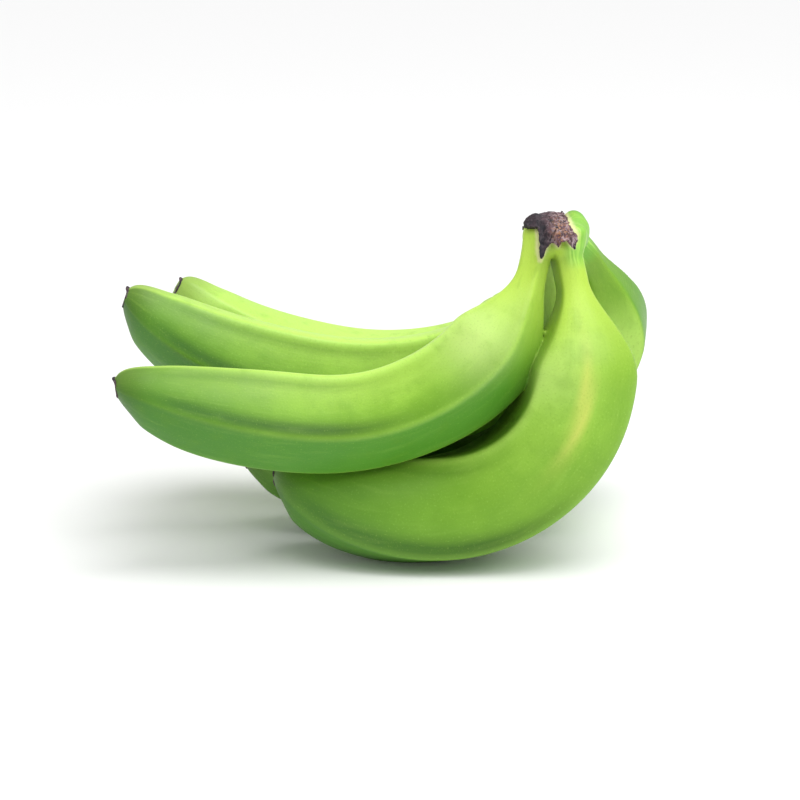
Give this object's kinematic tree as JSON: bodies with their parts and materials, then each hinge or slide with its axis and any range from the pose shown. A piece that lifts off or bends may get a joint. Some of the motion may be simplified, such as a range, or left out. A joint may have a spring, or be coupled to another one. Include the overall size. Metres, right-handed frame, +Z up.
{
  "type": "hand of green bananas",
  "caption": "Hand of unripe green bananas curving out from one crown, with a dried cap on the cut crown, lying on its outer row.",
  "frame": {"origin": "middle of the bounding box in X and Y, at the height of the surface that the hand lies on", "axes": "+X from the blossom ends towards the crown, the longest way; +Y from the front fingers to the back ones; +Z up, with the crown at the top"},
  "size_m": [0.2078, 0.1304, 0.1326],
  "materials": {
    "green_peel": "satin, waxy green banana peel with fine fibres, pale bands along the ridges and yellow-green necks",
    "dry_crown": "dry, wrinkled, dark purple-brown crown tissue with tan flecks"
  },
  "bodies": {
    "root": {"banana_hand": "green_peel", "dry_crown_cap": "dry_crown"}
  },
  "joints": []
}
